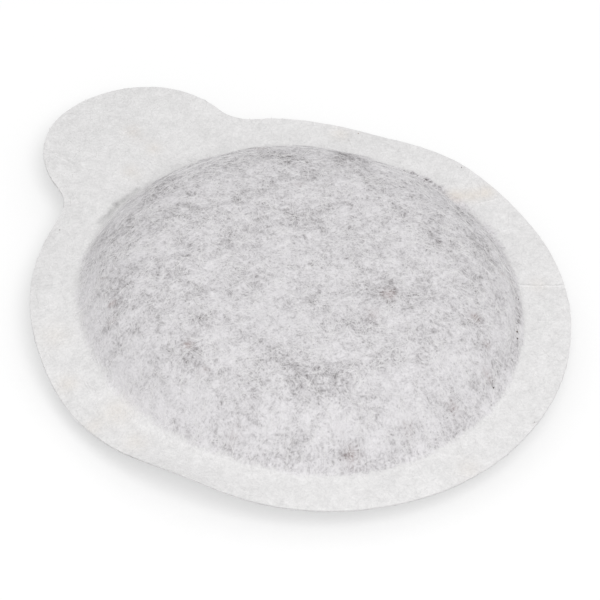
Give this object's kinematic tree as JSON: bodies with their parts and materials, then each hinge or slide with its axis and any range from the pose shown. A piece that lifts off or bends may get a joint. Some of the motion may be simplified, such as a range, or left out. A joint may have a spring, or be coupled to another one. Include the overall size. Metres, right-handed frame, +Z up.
{
  "type": "coffee pod",
  "caption": "Round filter paper pod of pressed ground coffee, with a domed top, a flat sealed rim and a rounded pull tab.",
  "frame": {"origin": "centre of the flat underside, on the axis of the round coffee puck", "axes": "+Z up through the dome, +Y out along the pull tab, +X across the tab"},
  "size_m": [0.054, 0.0637, 0.0099],
  "materials": {
    "filter_paper": "matte",
    "ground_coffee": "matte"
  },
  "bodies": {
    "root": {"upper_filter_paper": "filter_paper", "coffee_puck": "ground_coffee", "lower_filter_paper": "filter_paper"}
  },
  "joints": []
}
